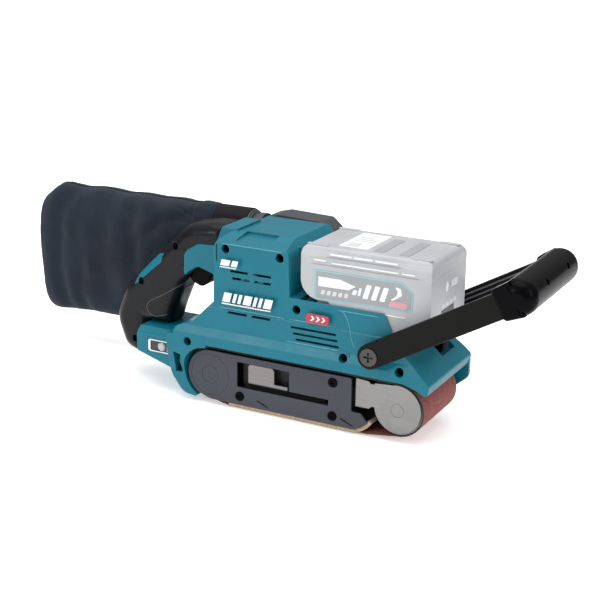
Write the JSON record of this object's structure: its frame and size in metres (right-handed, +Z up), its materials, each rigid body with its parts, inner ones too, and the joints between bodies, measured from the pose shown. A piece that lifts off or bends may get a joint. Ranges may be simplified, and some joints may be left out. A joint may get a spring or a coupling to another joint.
{
  "type": "handheld belt sander",
  "caption": "Cordless handheld belt sander with a rear D-handle, tilting front bail handle, slide-on battery, quick-change belt and side dust bag.",
  "frame": {"origin": "on the working face of the sanding belt under the platen, on the belt's centre plane", "axes": "+X forwards towards the front roller, +Z up, -Y towards the belt-change side"},
  "size_m": [0.576, 0.142, 0.1709],
  "materials": {
    "teal_plastic": "satin",
    "black_plastic": "satin",
    "grey_plastic": "matte",
    "grip_rubber": "matte",
    "abrasive_belt": "matte",
    "cork_rubber": "matte",
    "bright_steel": "satin",
    "dark_screw": "satin",
    "cast_alloy": "matte",
    "dark_cover": "matte",
    "drum_rubber": "matte",
    "board_potting": "satin",
    "motor_iron": "satin",
    "belt_rubber": "matte",
    "collar_rubber": "matte",
    "bag_cloth": "matte",
    "black_metal": "satin",
    "battery_plastic": "satin",
    "cell_metal": "satin",
    "contact_brass": "satin"
  },
  "bodies": {
    "machine": {"sanding_belt": "abrasive_belt", "platen_pad": "cork_rubber", "platen_plate": "bright_steel", "platen_screws": "dark_screw", "sander_frame": "cast_alloy", "side_cover": "dark_cover", "side_cover_screws": "dark_screw", "drum_bearings": "bright_steel", "tension_spring": "bright_steel", "lever_pin": "bright_steel", "housing_right": "teal_plastic", "housing_left": "teal_plastic", "housing_screws": "dark_screw", "handle_right": "grip_rubber", "handle_left": "grip_rubber", "handle_inlay": "teal_plastic", "handle_screws": "dark_screw", "switch_body": "black_plastic", "trigger_spring": "bright_steel", "lock_pin": "bright_steel", "control_panel": "grey_plastic", "motor_controller": "board_potting", "motor_stator": "motor_iron", "motor_bearings": "bright_steel", "timing_belt": "belt_rubber", "drive_cover": "grey_plastic", "fan_case": "grey_plastic", "dust_nozzle": "grey_plastic", "pivot_screws": "dark_screw", "terminal_block": "black_plastic"},
    "battery": {"battery_case": "battery_plastic", "battery_cover": "battery_plastic", "battery_cells": "cell_metal", "battery_contacts": "contact_brass"},
    "battery_latch": {"battery_button": "grey_plastic"},
    "trigger_lever": {"trigger": "black_plastic"},
    "lock": {"lock_lever": "black_plastic"},
    "speed_key": {"speed_button": "black_plastic"},
    "tracking_wheel": {"tracking_dial": "black_plastic"},
    "motor": {"motor_rotor": "motor_iron", "motor_shaft": "bright_steel", "drive_pinion": "cast_alloy", "dust_fan": "black_plastic"},
    "drum": {"drive_drum": "drum_rubber", "drum_shaft": "bright_steel", "driven_pulley": "cast_alloy"},
    "tension_carriage": {"idler_bracket": "bright_steel", "idler_axle": "bright_steel", "idler_yoke": "bright_steel"},
    "idler": {"idler_roller": "cast_alloy", "idler_bearings": "bright_steel"},
    "lever": {"tension_lever": "bright_steel"},
    "bail": {"bail_arm_right": "black_metal", "bail_arm_left": "black_metal", "front_grip_rear": "black_plastic", "front_grip_front": "black_plastic", "grip_screws": "dark_screw"},
    "swivel": {"nozzle_ring": "grey_plastic"},
    "bag": {"bag_collar": "collar_rubber", "dust_bag": "bag_cloth"}
  },
  "joints": [
    {"name": "drum_spin", "type": "hinge", "parent": "machine", "child": "drum", "pos_m": [-0.085, 0, 0.0305], "axis": [0, 1, 0], "continuous": true},
    {"name": "motor_spin", "type": "hinge", "parent": "machine", "child": "motor", "pos_m": [-0.038, 0, 0.122], "axis": [0, 1, 0], "continuous": true},
    {"name": "lever_swing", "type": "hinge", "parent": "machine", "child": "lever", "pos_m": [0.033, -0.0355, 0.0254], "axis": [0, 0, 1], "range_deg": [0, 80]},
    {"name": "belt_tension", "type": "slide", "parent": "machine", "child": "tension_carriage", "axis": [-1, 0, 0], "range_m": [0, 0.006]},
    {"name": "idler_spin", "type": "hinge", "parent": "tension_carriage", "child": "idler", "pos_m": [0.1055, 0, 0.0305], "axis": [0, 1, 0], "continuous": true},
    {"name": "bail_tilt", "type": "hinge", "parent": "machine", "child": "bail", "pos_m": [0.0859, 0, 0.083], "axis": [0, -1, 0], "range_deg": [-25, 75]},
    {"name": "battery_slide", "type": "slide", "parent": "machine", "child": "battery", "axis": [1, 0, 0], "range_m": [0, 0.055]},
    {"name": "battery_release", "type": "slide", "parent": "battery", "child": "battery_latch", "axis": [0, 0, -1], "range_m": [0, 0.003], "stiffness_N_per_m": 800, "springref_m": -0.001},
    {"name": "trigger_pull", "type": "hinge", "parent": "machine", "child": "trigger_lever", "pos_m": [-0.101, 0, 0.1283], "axis": [0, 1, 0], "range_deg": [0, 5], "stiffness_Nm_per_rad": 0.6, "springref_deg": -5.73, "deforming": ["trigger_spring"]},
    {"name": "lock_tip", "type": "hinge", "parent": "machine", "child": "lock", "pos_m": [-0.0925, 0, 0.1235], "axis": [0, -1, 0], "range_deg": [0, 20], "stiffness_Nm_per_rad": 0.06, "springref_deg": -5.73},
    {"name": "speed_press", "type": "slide", "parent": "machine", "child": "speed_key", "axis": [0, 1, 0], "range_m": [0, 0.0008], "stiffness_N_per_m": 300, "springref_m": -0.0005},
    {"name": "tracking_turn", "type": "hinge", "parent": "machine", "child": "tracking_wheel", "pos_m": [0.1185, 0.02, 0.0765], "axis": [0, 1, 0], "range_deg": [-90, 90]},
    {"name": "nozzle_swivel", "type": "hinge", "parent": "machine", "child": "swivel", "pos_m": [-0.1, 0.052, 0.151], "axis": [1, 0, 0], "range_deg": [0, 35]},
    {"name": "bag_pull", "type": "slide", "parent": "swivel", "child": "bag", "axis": [-1, 0, 0], "range_m": [0, 0.035]}
  ],
  "couplings": [
    {"joint": "motor_spin", "follows": "drum_spin", "ratio": 2.6},
    {"joint": "idler_spin", "follows": "drum_spin", "ratio": 1},
    {"joint": "belt_tension", "follows": "lever_swing", "m_per_rad": 0.0042}
  ]
}
